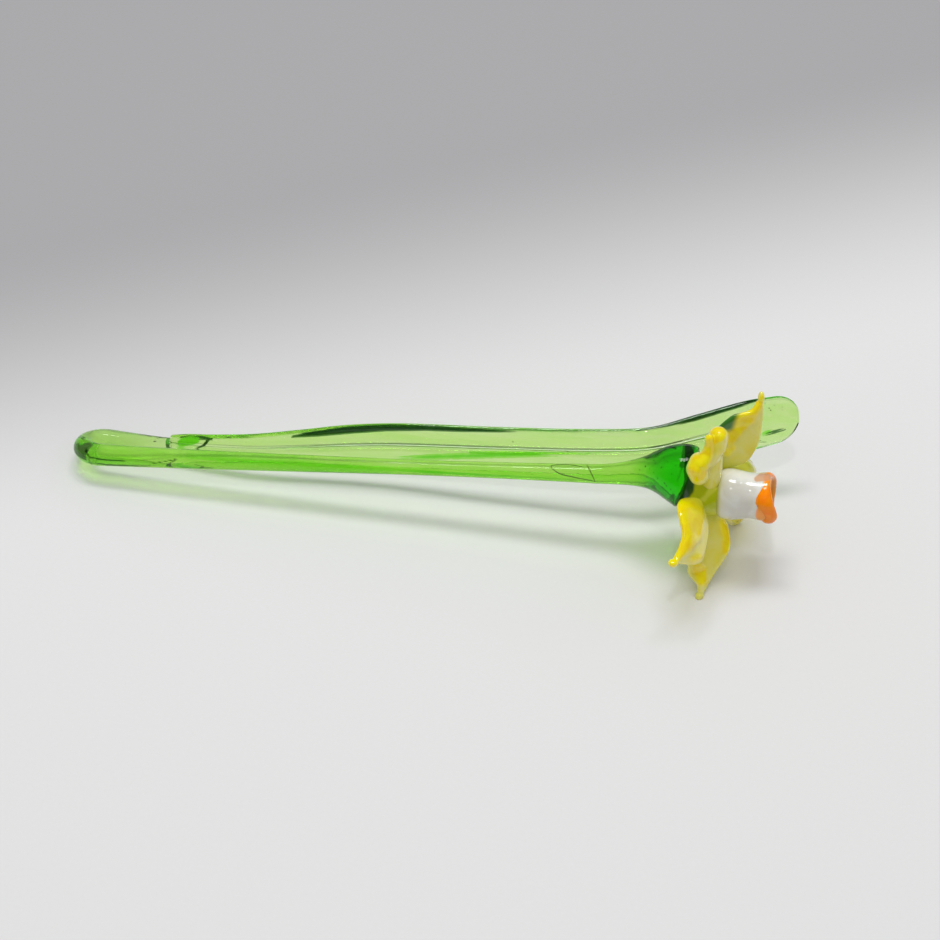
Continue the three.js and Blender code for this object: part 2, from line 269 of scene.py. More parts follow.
def newGroup(name, treeKind, inputs, outputs):  # an input has its starting number, or else its kind of socket
    group = bpy.data.node_groups.new(name, treeKind)
    for key, value in inputs.items():
        kind = {int: "NodeSocketInt", float: "NodeSocketFloat"}.get(type(value), value)
        socket = group.interface.new_socket(key, in_out="INPUT", socket_type=kind)
        if kind != value:
            socket.default_value = value
    for key, kind in outputs.items():
        group.interface.new_socket(key, in_out="OUTPUT", socket_type=kind)
    return group, group.nodes.new("NodeGroupInput").outputs, group.nodes.new("NodeGroupOutput").inputs


# Shader groups: a mask and a height from noise, drawn out along the rod where there is a stretch

def makeNoiseGroup(name, mask, numbers, fineness):
    group, start, end = newGroup(name, "ShaderNodeTree", {"Vector": "NodeSocketVector", **numbers},
                                 {mask: "NodeSocketFloat", "Height": "NodeSocketFloat"})
    vector = start["Vector"]
    if "Stretch" in numbers:
        parts = addNode(group, "ShaderNodeSeparateXYZ", {0: vector}).outputs
        longX = mathNode(group, "MULTIPLY", parts[0], start["Stretch"])
        vector = addNode(group, "ShaderNodeCombineXYZ", {0: longX, 1: parts[1], 2: parts[2]}).outputs[0]
    noise = addNode(group, "ShaderNodeTexNoise", {"Vector": vector, "Scale": start["Scale"],
                    "Distortion": start["Swirl"], **fineness}).outputs["Fac"]
    feed(group, end[mask], mapRange(group, noise, start["Low"], start["High"]))
    feed(group, end["Height"], noise)
    return group


def useGroup(tree, group, point, values):
    return addNode(tree, "ShaderNodeGroup", {"Vector": point, **values}, node_tree=group).outputs


# fine lengthwise cords that hot-drawn glass keeps
striaeGroup = makeNoiseGroup("glassStriae", "Streak", {"Stretch": 0.06, "Scale": 900.0, "Swirl": 0.3, "Low": 0.42,
                             "High": 0.6}, {"Detail": 3.0, "Roughness": 0.55})
# soft milky clouds and swirls inside worked opal glass
cloudGroup = makeNoiseGroup("glassClouds", "Cloud", {"Scale": 180.0, "Swirl": 1.5, "Low": 0.35, "High": 0.68},
                            {"Detail": 4.0, "Roughness": 0.5})


# Materials. "marks" are painted marks: name, how far its edge wavers, where the edge begins and ends, and its colour.
# "rough" is from what to what of the pattern the roughness runs, and from what to what roughness

def makeGlass(name, values):
    material, tree, point = newMaterial(name)
    clouds = useGroup(tree, cloudGroup, point, values["clouds"])
    mask, height, pattern = clouds["Cloud"], clouds["Height"], clouds["Height"]
    if "striae" in values:
        striae = useGroup(tree, striaeGroup, point, values["striae"])
        mask, height, pattern = striae["Streak"], striae["Height"], striae["Streak"]
    if "fine" in values:
        pattern = useGroup(tree, cloudGroup, point, values["fine"])["Cloud"]
    if "baseEdge" in values:
        mask = mapRange(tree, clouds["Height"], *values["baseEdge"])
    colour = mixColour(tree, mask, *values["base"])
    for key, waver, edge, tint in values["marks"]:
        if len(tint) == 2:  # two colours, mixed by the clouds
            tint = mixColour(tree, clouds["Cloud"], *tint)
        colour = mixColour(tree, markMask(tree, key, clouds["Height"], waver, edge), colour, tint)
    bump = addNode(tree, "ShaderNodeBump", {"Strength": values["bump"], "Distance": values["bumpDepth"],
                   "Height": height})
    rough = mapRange(tree, pattern, *values["rough"], "LINEAR")
    surface = addNode(tree, "ShaderNodeBsdfPrincipled", {"Base Color": colour, "Metallic": 0.0, "IOR": 1.5,
                      "Roughness": rough, "Normal": bump.outputs["Normal"], **values["surface"]}).outputs[0]
    if "shadow" in values:  # the colour of the light that comes through
        path = addNode(tree, "ShaderNodeLightPath")
        clear = addNode(tree, "ShaderNodeBsdfTransparent", {"Color": values["shadow"]})
        surface = addNode(tree, "ShaderNodeMixShader", {0: path.outputs["Is Shadow Ray"], 1: surface,
                          2: clear.outputs[0]}).outputs[0]
    out = addNode(tree, "ShaderNodeOutputMaterial", {"Surface": surface})
    if "absorb" in values:
        volume = addNode(tree, "ShaderNodeVolumeAbsorption", {"Color": values["absorb"], "Density": values["density"]})
        feed(tree, out.inputs["Volume"], volume.outputs[0])
    return material


def finishDull(tree, colour, rough):
    surface = addNode(tree, "ShaderNodeBsdfPrincipled", {"Base Color": colour, "Roughness": rough})
    addNode(tree, "ShaderNodeOutputMaterial", {"Surface": surface.outputs[0]})


def makeSpeck(name, values):  # soot and trapped air in the glass
    material, tree, point = newMaterial(name)
    clouds = useGroup(tree, cloudGroup, point, values["clouds"])
    colour = mixColour(tree, clouds["Cloud"], *values["base"])
    finishDull(tree, colour, mapRange(tree, clouds["Height"], *values["rough"], "LINEAR"))
    return material


greenGlass = {
    "base": ((0.72, 0.95, 0.42), (0.60, 0.92, 0.28)),
    # the "dark" mark is painted shade and the "bright" mark a painted band of light
    "marks": [("leg", 0, (), (0.92, 0.97, 0.86)), ("deep", 0, (), (0.08, 0.80, 0.03)),
              ("dark", 0.7, (0.25, 0.6), (0.012, 0.06, 0.012)), ("bright", 1.2, (0.2, 0.9), (0.36, 0.84, 0.10))],
    "striae": {"Scale": 700.0, "Stretch": 0.05}, "clouds": {"Scale": 330.0, "Swirl": 2.0},
    "bump": 0.25, "bumpDepth": 0.0002, "rough": (0.0, 1.0, 0.0, 0.02),
    "surface": {"Transmission Weight": 0.94, "Specular Tint": (0.35, 0.35, 0.35)},
    "shadow": (0.52, 0.42, 0.78), "absorb": (0.67, 0.936, 0.06), "density": 280.0,
}
paleGreenGlass = {
    **greenGlass, "base": ((0.97, 1.0, 0.93), (0.84, 0.98, 0.70)),
    # on the leaf, "dark" is painted shade and "bright" painted glints and bands of light
    "marks": [("dark", 0.25, (0.25, 0.6), (0.012, 0.06, 0.012)), ("bright", 1.2, (0.2, 0.9), (0.22, 0.80, 0.04))],
    "striae": {"Scale": 420.0, "Stretch": 0.08}, "bump": 0.12,
    "surface": {"Transmission Weight": 0.98, "Specular Tint": (0.8, 0.8, 0.8)},
    "shadow": (0.40, 0.36, 0.55), "density": 400.0,
}
yellowGlass = {
    "base": ((0.82, 0.76, 0.09), (0.85, 0.81, 0.24)), "baseEdge": (0.3, 0.75),
    "marks": [("core", 0.16, (0.05, 0.9), ((0.92, 0.72, 0.0), (0.98, 0.84, 0.0))),
              ("along", 0, (0.22, 0.0), (0.68, 0.70, 0.06)), ("green", 0, (), (0.04, 0.20, 0.015))],
    "clouds": {"Scale": 260.0, "Swirl": 0.8}, "fine": {"Scale": 700.0, "Swirl": 0.8},
    "bump": 0.06, "bumpDepth": 0.0003, "rough": (0.0, 1.0, 0.03, 0.07),
    "surface": {"Transmission Weight": 0.12, "Subsurface Weight": 0.75, "Subsurface Radius": (1.0, 0.85, 0.25),
                "Subsurface Scale": 0.0012, "Coat Weight": 0.5, "Coat Roughness": 0.01},
    "shadow": (0.55, 0.52, 0.20),
}
# a darker copy of the yellow glass, used for the sixth petal at the back
oliveGlass = {
    **yellowGlass, "base": ((0.52, 0.50, 0.10), (0.58, 0.55, 0.16)),
    "marks": [("core", 0.16, (0.05, 0.9), ((0.50, 0.48, 0.02), (0.58, 0.55, 0.04))), *yellowGlass["marks"][1:]],
}
whiteGlass = {
    "base": ((0.76, 0.77, 0.75), (0.66, 0.65, 0.60)),
    "marks": [("warm", 0.3, (0.25, 0.75), (1.0, 0.33, 0.02)), ("clear", 0, (0.3, 0.8, 0.0, 0.85), (0.62, 0.33, 0.19)),
              ("along", 0, (0.12, 0.0), (0.55, 0.56, 0.12))],
    "clouds": {"Scale": 160.0, "Swirl": 0.8}, "fine": {"Scale": 1100.0, "Swirl": 0.3},
    "bump": 0.05, "bumpDepth": 0.0003, "rough": (0.0, 1.0, 0.03, 0.06),
    "surface": {"Subsurface Weight": 0.5, "Subsurface Radius": (1.0, 0.95, 0.8), "Subsurface Scale": 0.002,
                "Coat Weight": 0.5, "Coat Roughness": 0.01},
    "shadow": (0.78, 0.75, 0.55),
}
orangeGlass = {
    "base": ((1.0, 0.29, 0.0), (0.97, 0.21, 0.0)), "marks": [("inner", 0, (), (0.70, 0.28, 0.01))],
    "clouds": {"Scale": 320.0, "Swirl": 1.0}, "bump": 0.15, "bumpDepth": 0.0003, "rough": (0.3, 0.7, 0.03, 0.06),
    "surface": {"Subsurface Weight": 0.12, "Subsurface Radius": (1.0, 0.5, 0.1), "Subsurface Scale": 0.0015,
                "Coat Weight": 0.2, "Coat Roughness": 0.01, "Specular IOR Level": 0.3},
}
bossGlass = {
    "base": ((0.50, 0.58, 0.0), (0.50, 0.58, 0.0)),
    # the "green" mark on the boss is dark painted shade
    "marks": [("pale", 0.5, (0.1, 0.9), (0.64, 0.68, 0.06)), ("green", 0, (), (0.02, 0.09, 0.015))],
    "clouds": {"Scale": 220.0, "Swirl": 1.6}, "bump": 0.15, "bumpDepth": 0.0003, "rough": (0.3, 0.7, 0.03, 0.07),
    "surface": {"Transmission Weight": 0.1, "Subsurface Weight": 0.7, "Subsurface Radius": (0.9, 0.9, 0.3),
                "Subsurface Scale": 0.002},
    "shadow": yellowGlass["shadow"],
}
speck = {"base": ((0.01, 0.05, 0.01), (0.05, 0.045, 0.015)), "clouds": {"Scale": 900.0, "Swirl": 0.5},
         "rough": (0.3, 0.7, 0.25, 0.5)}
greenMaterial = makeGlass("greenDrawnGlass", greenGlass)
leafMaterial = makeGlass("greenPressedGlass", paleGreenGlass)
yellowMaterial = makeGlass("yellowCloudyGlass", yellowGlass)
oliveMaterial = makeGlass("oliveCloudyGlass", oliveGlass)
whiteMaterial = makeGlass("whiteOpalGlass", whiteGlass)
orangeMaterial = makeGlass("orangeRolledGlass", orangeGlass)
bossMaterial = makeGlass("yellowGreenGlass", bossGlass)
speckMaterial = makeSpeck("glassSpecks", speck)
print("materials made")


# Geometry nodes: a tube that follows a path and stays above a height, and specks spread on points

def finishTree(tree, end, shape, material):
    real = addNode(tree, "GeometryNodeRealizeInstances", {"Geometry": shape})
    done = addNode(tree, "GeometryNodeSetMaterial", {"Geometry": real.outputs[0], "Material": material})
    feed(tree, end["Geometry"], done.outputs[0])
    return tree


def makeTubeTree():
    tree, start, end = newGroup("tubeAlongPath", "GeometryNodeTree",
                                {"Path": "NodeSocketGeometry", "Sides": 40, "Size": 1.0, "Table Height": -1.0,
                                 "Glass": "NodeSocketMaterial"}, {"Geometry": "NodeSocketGeometry"})
    circle = addNode(tree, "GeometryNodeCurvePrimitiveCircle", {"Resolution": start["Sides"], "Radius": start["Size"]})
    tube = addNode(tree, "GeometryNodeCurveToMesh", {"Curve": start["Path"], "Profile Curve": circle.outputs[0],
                   "Fill Caps": True})
    if "Scale" in tube.inputs:  # the path's radius, where Blender doesn't take it by itself
        feed(tree, tube.inputs["Scale"], addNode(tree, "GeometryNodeInputRadius").outputs[0])
    parts = addNode(tree, "ShaderNodeSeparateXYZ", {0: addNode(tree, "GeometryNodeInputPosition").outputs[0]}).outputs
    above = mathNode(tree, "MAXIMUM", parts[2], start["Table Height"])
    pressed = addNode(tree, "ShaderNodeCombineXYZ", {0: parts[0], 1: parts[1], 2: above})
    laid = addNode(tree, "GeometryNodeSetPosition", {"Geometry": tube.outputs[0], "Position": pressed.outputs[0]})
    shaded = addNode(tree, "GeometryNodeSetShadeSmooth", {"Geometry": laid.outputs[0], "Shade Smooth": True})
    return finishTree(tree, end, shaded.outputs[0], start["Glass"])


def makeSeedTree():
    tree, start, end = newGroup("seedsInGlass", "GeometryNodeTree",
                                {"Places": "NodeSocketGeometry", "Size": 0.001, "Detail": 2,
                                 "Speck": "NodeSocketMaterial"}, {"Geometry": "NodeSocketGeometry"})
    ball = addNode(tree, "GeometryNodeMeshIcoSphere", {"Radius": start["Size"], "Subdivisions": start["Detail"]})
    share = addNode(tree, "GeometryNodeInputNamedAttribute", {"Name": "share"}, data_type="FLOAT")
    spread = addNode(tree, "GeometryNodeInstanceOnPoints", {"Points": start["Places"], "Instance": ball.outputs[0],
                     "Scale": share.outputs[0]})
    return finishTree(tree, end, spread.outputs[0], start["Speck"])


def runTree(holder, tree, values, name):  # the tree's result as a plain mesh
    modifier = holder.modifiers.new("shape", "NODES")
    modifier.node_group = tree
    for item in tree.interface.items_tree:
        if item.in_out == "INPUT" and item.name in values:
            modifier[item.identifier] = values[item.name]
    return plainMesh(holder, name)


def makeTube(name, points, radii, sides, material, tableHeight=-1.0, cyclic=False):
    data = bpy.data.curves.new(name, "CURVE")
    data.dimensions = "3D"
    spline = data.splines.new("POLY")
    spline.points.add(len(points) - 1)
    for target, point, radius in zip(spline.points, points, radii):
        target.co = (*(point * mm), 1.0)
        target.radius = radius * mm
    spline.use_cyclic_u = cyclic
    return runTree(addObject(name, data), tubeTree, {"Sides": sides, "Size": 1.0, "Table Height": tableHeight,
                                                     "Glass": material}, name)


tubeTree = makeTubeTree()
seedTree = makeSeedTree()


# Stem and neck: one rod of green glass, bent back at the foot and flared at the flower

stem = {
    "legLength": 18.5, "legEndRadius": 1.6, "legTaper": 1.3, "legDrift": (-1.8, 3.1), "legSteps": 25,
    "bendRadius": 5.3, "bendStart": (1.0, 1.4), "bendSteps": 32, "bendAside": 0.6, "bendFade": 8,
    "tubeRadius": 3.05, "flatDepth": 0.36, "thinRadius": 2.08, "thinAt": 0.62, "thinning": 0.75, "jointRadius": 2.55,
    "jointX": 135.5, "swellShare": 0.3, "swelling": 1.6, "axisY": -11.1, "rise": (7.5, 20.6), "rodSteps": 90,
    "sides": 48, "tableHeight": 0.06, "paleLeg": (-7.0, -3.0),
}
flower = {"neckEnd": (161.2, -12.0, 23.9), "yaw": 13.0, "droop": 8.8}
neck = {
    "leaving": (0.45, 0, 0.045), "arriving": 0.3, "steps": 60, "crowding": 1.25, "length": 26.0,
    "deepFrom": (630, 672),
    "profile": [(0.0, 2.55), (4.0, 2.75), (8.0, 3.2), (12.5, 4.2), (15.5, 5.5), (18.5, 6.9), (21.5, 7.9),
                (24.0, 8.4), (25.4, 8.2), (25.8, 7.7), (25.95, 6.9)],
    # painted shade at the bell's end, where it meets the flower, and in lines along the rod's edges; brightMarks is a
    # painted band of light along the rod; all by picture x, y and radius
    "darkMarks": [[(688, 446, 3), (690, 455, 5), (693, 470, 9), (696, 482, 12), (688, 494, 8), (680, 502, 5)],
                  [(700, 470, 12), (705, 490, 14)], [(650, 449, 0.8), (664, 446, 1.0), (676, 448, 1.0)],
                  [(90, 446, 0.3), (85.5, 451.5, 0.6), (90, 457.5, 0.7), (105, 460, 0.7), (127, 461, 0.3)],
                  [(88, 462.5, 0.5), (110, 465, 0.6), (150, 466.3, 0.3)],
                  [(148, 465, 0.2), (160, 462, 0.7), (177, 459, 0.2)],
                  [(272, 462.5, 0.2), (310, 464.5, 0.6), (350, 467, 0.8), (362, 467.5, 0.2)]],
    "brightMarks": [[(180, 457.5, 0.6), (240, 460.5, 1.6), (300, 463.5, 2.0), (360, 467.5, 1.8), (430, 472, 1.2),
                     (510, 476, 0.4)]],
    "darkSoft": 1.2, "brightSoft": 1.5,
}
yaw, droop = math.radians(flower["yaw"]), math.radians(flower["droop"])
axis = Vector((math.cos(yaw) * math.cos(droop), -math.sin(yaw) * math.cos(droop), -math.sin(droop)))
front = Vector((-math.sin(yaw), -math.cos(yaw), 0.0))
headOrigin = Vector(flower["neckEnd"])
headTurn = Matrix((front.cross(axis), front, axis)).transposed()


def toHead(v):  # from the flower's own frame: +X up, +Y to the front, +Z along its axis
    return headOrigin + headTurn @ v


def makeStemAndNeck():
    path, radii = [], []
    low = Vector((stem["bendStart"][0], 0.0, stem["tubeRadius"] - stem["flatDepth"]))
    high = Vector((stem["bendStart"][1], stem["axisY"] + stem["bendAside"], stem["rise"][0]))
    for i in range(stem["legSteps"]):
        t = 1 - i / stem["legSteps"]
        sideways, upwards = (drift * (t * t) for drift in stem["legDrift"])
        path.append(Vector((mix(low.x, stem["legLength"], t), sideways, low.z + upwards)))
        radii.append(mix(stem["tubeRadius"], stem["legEndRadius"], t ** stem["legTaper"]))
    centre, spread = (low + high) / 2, (low - high) / 2
    for i in range(stem["bendSteps"] + 1):
        turn = math.pi * i / stem["bendSteps"]
        path.append(centre + spread * math.cos(turn) - Vector((stem["bendRadius"] * math.sin(turn), 0, 0)))
        radii.append(stem["tubeRadius"])
    joint = Vector((stem["jointX"], stem["axisY"], stem["rise"][1]))
    for i in range(1, stem["rodSteps"]):
        t = i / stem["rodSteps"]
        path.append(Vector((mix(high.x, joint.x, t), stem["axisY"] + stem["bendAside"] * (1 - t) ** stem["bendFade"],
                            mix(high.z, joint.z, t))))
        thin = mix(stem["tubeRadius"], stem["thinRadius"], min(1, t / stem["thinAt"]) ** stem["thinning"])
        swell = max(0, (t - (1 - stem["swellShare"])) / stem["swellShare"]) ** stem["swelling"]
        radii.append(thin + (stem["jointRadius"] - stem["thinRadius"]) * swell)
    reach = (headOrigin - joint).length
    p1 = joint + Vector([reach * share for share in neck["leaving"]])
    p2 = headOrigin - axis * (reach * neck["arriving"])
    for i in range(neck["steps"] + 1):
        t = 1 - (1 - i / neck["steps"]) ** neck["crowding"]
        path.append(bezierPoint(joint, p1, p2, headOrigin, t))
        radii.append(between(neck["profile"], neck["length"] * t))
    mesh = makeTube("stemAndNeck", path, radii, stem["sides"], greenMaterial, stem["tableHeight"] * mm)
    spots = [seenAt(vertex.co / mm) for vertex in mesh.vertices]
    # painted shade (dark) and a painted band of light (bright) on the rod
    paint(mesh, "dark", [marked(neck["darkMarks"], spot, neck["darkSoft"]) for spot in spots])
    paint(mesh, "bright", [marked(neck["brightMarks"], spot, neck["brightSoft"]) for spot in spots])
    paint(mesh, "deep", [smooth(spot[0], *neck["deepFrom"]) for spot in spots])
    paint(mesh, "leg", [smooth(vertex.co.y / mm, *stem["paleLeg"]) for vertex in mesh.vertices])
    return addPiece("stemAndNeck", mendedMesh(mesh), greenMaterial, ["stem", "neck"])


stemAndNeck = makeStemAndNeck()
print("stem and neck made")


# Leaf: a blade pressed with a crease along each face, standing on its edge

leaf = {
    "thickness": 2.6, "edge": 1.7, "thicknessShare": 0.6, "edgeShare": 0.5, "plump": 2.2, "lean": (14, 22),
    "leanFrom": (0.6, 0.9), "crease": 1.15, "creaseWidth": 0.105, "creaseEnds": (0.87, 0.93), "creaseFull": 12,
    "endLength": 7.2, "endRound": 2.3, "endCut": 0.9, "leastWidth": 0.02, "steps": 340, "around": 128,
    "edgeRound": 1.2, "edgeFrom": 0.92, "edgeSoft": 0.6, "tipShare": 0.1, "nearby": 0.004,
    # x, y and z of the middle line, and the width
    "stations": [(19.3, -2.0, 6.6, 4.4), (24.0, -2.5, 7.1, 6.0), (31.0, -3.0, 7.8, 7.0), (43.0, -3.3, 9.1, 8.6),
                 (56.0, -2.4, 10.4, 10.8), (69.0, -1.2, 11.8, 12.7), (83.0, -0.6, 13.3, 13.4),
                 (109.0, -0.8, 16.1, 13.0), (136.0, -0.6, 18.9, 13.0), (150.0, 0.6, 20.45, 12.8),
                 (162.5, 5.9, 21.2, 13.8), (175.0, 12.1, 21.6, 14.5), (182.0, 15.4, 21.6, 13.6),
                 (187.95, 18.1, 21.8, 13.0)],
    # painted shade along the top edge, at the crease's end on the paddle and around the glint at the foot, by picture
    # x, y and radius
    "darkMarks": [[(292, 436, 0.5), (318, 433, 2.2), (350, 429.5, 3), (385, 427.5, 2.6), (425, 427.5, 2.2),
                   (462, 429.5, 1.3), (517, 431.5, 0.1)],
                  [(636, 431, 0.5), (668, 425, 1.6), (695, 417.5, 2.6), (722, 409, 2.8), (757, 399, 2.2)],
                  [(764, 434.2, 0.3), (773, 431.5, 0.9), (785, 428, 0.4)], [(757, 441, 0.2), (765, 440.5, 0.3)],
                  [(181, 437.3, 0.6), (190, 436.6, 1.0), (203, 437.4, 1.4), (213, 439, 0.4)],
                  [(208, 440.5, 1.3), (204, 445, 1.1), (197, 448.5, 0.6)]],
    # painted glints at the foot and on the paddle, and a painted band of light under the crease, by picture x, y and
    # radius
    "brightMarks": [[(182, 443, 4.5), (192, 440, 4.5), (197, 440, 3)],
                    [(395, 457, 0.3), (430, 456, 2.2), (480, 454.6, 2.4), (540, 453.8, 1.5), (640, 453, 0.4)],
                    [(752, 450, 1.5), (762, 447.5, 1.5)], [(761, 434.5, 1.0), (767, 431.3, 1.5), (771, 430.5, 0.8)]],
    "markSoft": 0.9,
}


def makeLeaf():
    spine = [Vector(station[:3]) for station in leaf["stations"]]
    lengths = [0.0]
    for a, b in zip(spine, spine[1:]):
        lengths.append(lengths[-1] + (b - a).length)
    rows = [(at / lengths[-1], *point, station[3]) for at, point, station in zip(lengths, spine, leaf["stations"])]

    def spineAt(t):
        return Vector([between(rows, t, k) for k in (1, 2, 3)])

    rings, tip = [], leaf["tipShare"]
    for i in range(leaf["steps"] + 1):
        t = i / leaf["steps"]
        if t >= 1 - tip:  # closer together towards the end
            t = 1 - tip + tip * math.sin((t - (1 - tip)) / tip * math.pi / 2)
        left = (1 - t) * lengths[-1]
        roundEnd = math.sqrt(max(0.0, 1 - max(0.0, 1 - left / leaf["endLength"]) ** leaf["endRound"]))
        thinEnd = math.sqrt(max(0.0, 1 - max(0.0, 1 - left / leaf["endCut"]) ** 2))
        point = spineAt(t)
        along = (spineAt(min(1, t + leaf["nearby"])) - spineAt(max(0, t - leaf["nearby"]))).normalized()
        width = between(rows, t, 4) * max(roundEnd, leaf["leastWidth"])
        lean = math.radians(mix(*leaf["lean"], smooth(t, *leaf["leanFrom"])))
        back = Vector((-along.y, along.x, 0)).normalized()
        up = Vector((0, 0, math.cos(lean))) + back * math.sin(lean)
        through = up.cross(along).normalized()
        half = width / 2
        edge = min(leaf["edge"], width * leaf["edgeShare"]) / 2 * thinEnd
        face = min(leaf["thickness"], width * leaf["thicknessShare"]) / 2 * thinEnd
        crease = leaf["crease"] * min(1, width / leaf["creaseFull"]) * (1 - smooth(t, *leaf["creaseEnds"]))
        ring = []
        for k in range(leaf["around"]):
            turn = 2 * math.pi * k / leaf["around"]
            u, v = math.cos(turn), math.sin(turn)
            body = edge + (face - edge) * (1 - abs(u) ** leaf["plump"])
            rounding = 0.0  # both edges are rounded off
            if abs(u) < 1:
                rounding = min(1.0, ((1 - abs(u)) * half / max(edge, 0.01) * leaf["edgeRound"]) ** 0.5)
            if abs(u) > leaf["edgeFrom"]:
                rounding = max(rounding, abs(v) ** leaf["edgeSoft"])
            depth = body * rounding - crease * math.exp(-(u / leaf["creaseWidth"]) ** 4)
            ring.append(point + up * (u * half) + through * (math.copysign(depth, v) if abs(v) > 1e-6 else 0.0))
        rings.append(ring)
    # painted shade and painted glints on the blade
    marks = {"dark": markRows(rings, leaf["darkMarks"], leaf["markSoft"]),
             "bright": markRows(rings, leaf["brightMarks"], leaf["markSoft"])}
    return addPiece("leafBlade", loftMesh("leafBlade", rings, marks), leafMaterial, ["leaf"])


leafBlade = makeLeaf()
print("leaf made")


# Seeds and seam lines caught inside the clear glass

seeds = {
    "depth": 0.5, "detail": 2, "share": 1.25,
    # picture x and y, radius in mm
    "neck": [(647.2, 457.7, 0.17), (645.7, 466.6, 0.20), (654.3, 460.8, 0.14), (655.6, 463.4, 0.14),
             (661.8, 467.4, 0.16), (653.8, 472.6, 0.13), (647, 477, 0.15), (665, 483, 0.17), (666.8, 485.6, 0.15),
             (663.7, 458.2, 0.12), (661.3, 452.5, 0.13), (631, 483, 0.16), (655, 485.5, 0.20), (672, 474, 0.12),
             (668, 462, 0.13), (640, 470, 0.12), (650, 469, 0.12), (658, 478, 0.14), (671, 489, 0.14),
             (676, 466, 0.12), (563, 451, 0.2), (532, 474, 0.1), (578, 473.5, 0.12)],
    "leaf": [(768.9, 408, 0.14), (770.5, 410, 0.13), (764.7, 402.9, 0.10), (774, 405, 0.10), (782, 407, 0.09),
             (782, 409.5, 0.09), (513, 441.5, 0.14), (567.5, 451.6, 0.16), (640, 431, 0.1), (756, 413, 0.1)],
}
seams = {
    "depth": 0.45, "radius": 0.14, "endShare": 0.45, "steps": 24, "sides": 8,
    "lines": [[(551.3, 467.7), (552.4, 465.8), (562.9, 464.9), (574.5, 465.8), (582.6, 467.4)],
              [(551.3, 467.7), (553.6, 470), (560.6, 473.8), (572.2, 476.6), (588.4, 479.6), (595, 481)],
              [(586.8, 465.2), (589.6, 470), (592.6, 475.8), (595.6, 482)],
              [(157, 438.5), (163, 438), (168, 437.3), (172, 437)], [(153.5, 441.6), (156.5, 441.4)]],
}


def insideGlass(surface, x, y, depth):  # the point just inside the glass that is seen at a picture position
    away = (placedAt(x, y, 0) - viewPoint).normalized()
    hit = surface.ray_cast(viewPoint, away)[0]
    return None if hit is None else hit + away * depth


def glassSurface(piece):
    return BVHTree.FromPolygons([v.co / mm for v in piece.data.vertices], [f.vertices for f in piece.data.polygons])


def makeSeeds(name, rows, piece):
    surface = glassSurface(piece)
    found = [(insideGlass(surface, x, y, seeds["depth"]), radius * seeds["share"]) for x, y, radius in rows]
    found = [(point, radius) for point, radius in found if point]
    mesh = bpy.data.meshes.new(name + "Places")
    mesh.from_pydata([point * mm for point, radius in found], [], [])
    paint(mesh, "share", [radius for point, radius in found])
    made = runTree(addObject(name, mesh), seedTree, {"Size": mm, "Detail": seeds["detail"], "Speck": speckMaterial},
                   name)
    return addPiece(name, made, speckMaterial, [])


def makeSeams():
    surface, steps = glassSurface(stemAndNeck), seams["steps"]
    work = bmesh.new()
    for line in seams["lines"]:
        points = [insideGlass(surface, x, y, seams["depth"]) for x, y in line]
        points = [p for p in points if p]
        if len(points) > 1:
            path = [splinePoint(points, i / steps) for i in range(steps + 1)]
            radii = [seams["radius"] * mix(seams["endShare"], 1, math.sin(math.pi * (i + 1) / (steps + 2)))
                     for i in range(steps + 1)]
            work.from_mesh(makeTube("seam", path, radii, seams["sides"], speckMaterial))
    mesh = bpy.data.meshes.new("seamLines")
    work.to_mesh(mesh)
    work.free()
    return addPiece("seamLines", mendedMesh(mesh), speckMaterial, [])


makeSeeds("neckSeeds", seeds["neck"], stemAndNeck)
makeSeeds("leafSeeds", seeds["leaf"], leafBlade)
makeSeams()
print("seeds and seam lines made")


# Petals: thick blades with a lengthwise fold, each drawn out to a bead

petal = {
    "root": (6.4, 0.0, 4.6), "neckRadius": 0.95, "neckAt": 0.9, "thickness": 2.9, "thinShare": 0.6, "thinning": 1.2,
    "flare": 3, "narrowing": 1.6, "swelling": 0.9, "beadTurn": (-0.25, 0.5), "beadStart": 0.75, "beadClose": 0.4,
    "drawnFrom": 0.8, "foldRound": 0.03, "foldMiddle": 0.45, "plump": 0.85, "bulgeRound": 1.5, "bulgeWidth": 3,
    "coreSoft": 4.2, "bulgeSoft": 4.0, "greenSoft": 3.0, "rootSteps": 6, "steps": 60, "beadSteps": 14, "around": 56,
}
